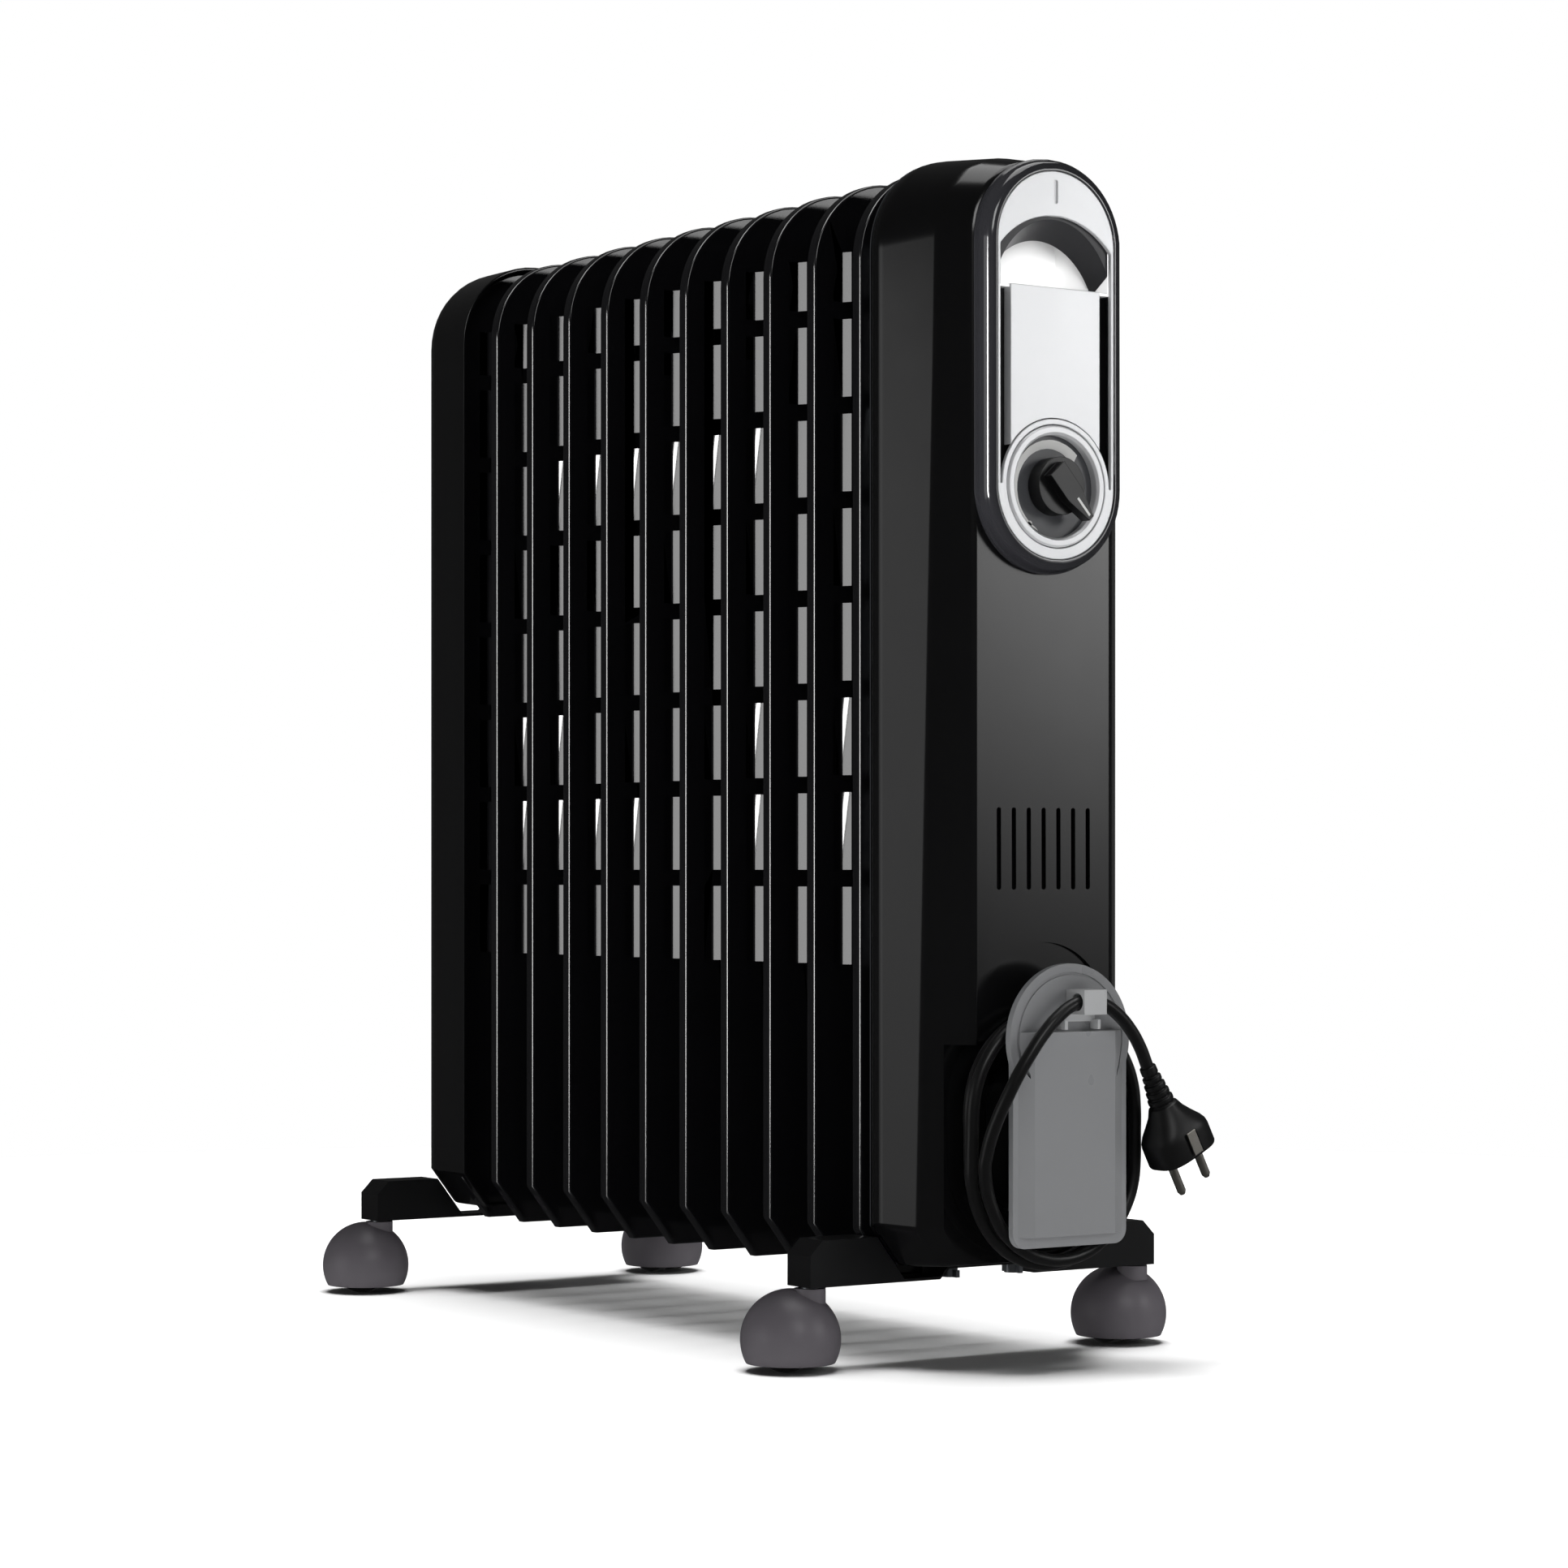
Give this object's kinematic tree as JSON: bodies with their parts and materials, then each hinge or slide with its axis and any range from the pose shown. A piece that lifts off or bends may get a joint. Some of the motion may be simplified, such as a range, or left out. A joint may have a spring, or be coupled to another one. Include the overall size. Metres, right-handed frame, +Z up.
{
  "type": "oil filled radiator heater",
  "caption": "Black oil filled radiator heater with a front control pod, a wound mains lead with a two pin plug, and twin wheel castors on cross feet.",
  "frame": {"origin": "Middle of the underside of the heater's box without its cord, on the floor", "axes": "+X to the right seen from the control end, +Y to the rear cover, +Z up"},
  "size_m": [0.28, 0.6284, 0.65],
  "materials": {
    "fin_enamel": "gloss black oven baked enamel on pressed steel",
    "cover_black": "gloss black powder coat on steel sheet",
    "pod_grey": "smoke grey gloss moulding",
    "face_silver": "silver painted moulding",
    "liner_white": "light gloss moulding",
    "dial_grey": "mid grey printed scale disc",
    "knob_black": "satin black moulding",
    "phenolic": "cream phenolic moulding",
    "wire_sleeve": "brown silicone sleeving",
    "copper_tube": "nickelled tube sheath",
    "spool_grey": "mid grey gloss moulding",
    "cord_rubber": "black PVC mains lead",
    "foot_black": "satin black powder coat on steel",
    "zinc_steel": "bright zinc plated steel",
    "brass": "nickelled brass",
    "castor_grey": "grey satin nylon",
    "wheel_black": "black hard plastic"
  },
  "bodies": {
    "radiator": {"fin_01": "fin_enamel", "fin_02": "fin_enamel", "fin_03": "fin_enamel", "fin_04": "fin_enamel", "fin_05": "fin_enamel", "fin_06": "fin_enamel", "fin_07": "fin_enamel", "fin_08": "fin_enamel", "fin_09": "fin_enamel", "fin_10": "fin_enamel", "fin_11": "fin_enamel", "rear_cover": "cover_black", "front_cover": "cover_black", "back_plate": "zinc_steel", "pod_bezel": "pod_grey", "pod_tray": "cover_black", "face_frame": "face_silver", "fascia_strip": "face_silver", "handle_liner": "liner_white", "carry_handle": "pod_grey", "dial_bezel": "face_silver", "dial_plate": "dial_grey", "thermostat_body": "phenolic", "safety_cutout": "brass", "terminal_block": "phenolic", "wiring": "wire_sleeve", "heating_element": "copper_tube", "oil_plug": "zinc_steel", "spool_core": "cover_black", "spool_plate": "spool_grey", "cord_clip": "face_silver", "cord_gland": "cord_rubber", "cord_lead": "cord_rubber", "cord_coil": "cord_rubber", "cord_tail": "cord_rubber", "plug_body": "cord_rubber", "plug_contacts": "brass", "front_foot": "foot_black", "rear_foot": "foot_black", "u_bolts": "zinc_steel", "wing_nuts": "zinc_steel"},
    "knob": {"thermostat_knob": "knob_black", "thermostat_shaft": "zinc_steel"},
    "castor_fl": {"castor_fl_hood": "castor_grey", "castor_fl_pins": "zinc_steel"},
    "castor_fl_wheel_a": {"castor_fl_wheel_a": "wheel_black"},
    "castor_fl_wheel_b": {"castor_fl_wheel_b": "wheel_black"},
    "castor_fr": {"castor_fr_hood": "castor_grey", "castor_fr_pins": "zinc_steel"},
    "castor_fr_wheel_a": {"castor_fr_wheel_a": "wheel_black"},
    "castor_fr_wheel_b": {"castor_fr_wheel_b": "wheel_black"},
    "castor_rl": {"castor_rl_hood": "castor_grey", "castor_rl_pins": "zinc_steel"},
    "castor_rl_wheel_a": {"castor_rl_wheel_a": "wheel_black"},
    "castor_rl_wheel_b": {"castor_rl_wheel_b": "wheel_black"},
    "castor_rr": {"castor_rr_hood": "castor_grey", "castor_rr_pins": "zinc_steel"},
    "castor_rr_wheel_a": {"castor_rr_wheel_a": "wheel_black"},
    "castor_rr_wheel_b": {"castor_rr_wheel_b": "wheel_black"}
  },
  "joints": [
    {"name": "thermostat", "type": "hinge", "parent": "radiator", "child": "knob", "pos_m": [0, -0.28525, 0.471], "axis": [0, 1, 0], "range_deg": [-280, 10]},
    {"name": "castor_fl_swivel", "type": "hinge", "parent": "radiator", "child": "castor_fl", "pos_m": [-0.11, -0.21035, 0.05], "axis": [0, 0, 1], "continuous": true},
    {"name": "castor_fl_roll_a", "type": "hinge", "parent": "castor_fl", "child": "castor_fl_wheel_a", "pos_m": [-0.117, -0.20235, 0.0165], "axis": [0.7526, 0.6585, 0], "continuous": true},
    {"name": "castor_fl_roll_b", "type": "hinge", "parent": "castor_fl", "child": "castor_fl_wheel_b", "pos_m": [-0.117, -0.20235, 0.0165], "axis": [0.7526, 0.6585, 0], "continuous": true},
    {"name": "castor_fr_swivel", "type": "hinge", "parent": "radiator", "child": "castor_fr", "pos_m": [0.11, -0.21035, 0.05], "axis": [0, 0, 1], "continuous": true},
    {"name": "castor_fr_roll_a", "type": "hinge", "parent": "castor_fr", "child": "castor_fr_wheel_a", "pos_m": [0.109, -0.19935, 0.0165], "axis": [0.9959, 0.0905, 0], "continuous": true},
    {"name": "castor_fr_roll_b", "type": "hinge", "parent": "castor_fr", "child": "castor_fr_wheel_b", "pos_m": [0.109, -0.19935, 0.0165], "axis": [0.9959, 0.0905, 0], "continuous": true},
    {"name": "castor_rl_swivel", "type": "hinge", "parent": "radiator", "child": "castor_rl", "pos_m": [-0.11, 0.27275, 0.05], "axis": [0, 0, 1], "continuous": true},
    {"name": "castor_rl_roll_a", "type": "hinge", "parent": "castor_rl", "child": "castor_rl_wheel_a", "pos_m": [-0.1165, 0.27875, 0.0165], "axis": [0.6783, 0.7348, 0], "continuous": true},
    {"name": "castor_rl_roll_b", "type": "hinge", "parent": "castor_rl", "child": "castor_rl_wheel_b", "pos_m": [-0.1165, 0.27875, 0.0165], "axis": [0.6783, 0.7348, 0], "continuous": true},
    {"name": "castor_rr_swivel", "type": "hinge", "parent": "radiator", "child": "castor_rr", "pos_m": [0.11, 0.27275, 0.05], "axis": [0, 0, 1], "continuous": true},
    {"name": "castor_rr_roll_a", "type": "hinge", "parent": "castor_rr", "child": "castor_rr_wheel_a", "pos_m": [0.1075, 0.28225, 0.0165], "axis": [0.9671, 0.2545, 0], "continuous": true},
    {"name": "castor_rr_roll_b", "type": "hinge", "parent": "castor_rr", "child": "castor_rr_wheel_b", "pos_m": [0.1075, 0.28225, 0.0165], "axis": [0.9671, 0.2545, 0], "continuous": true}
  ]
}
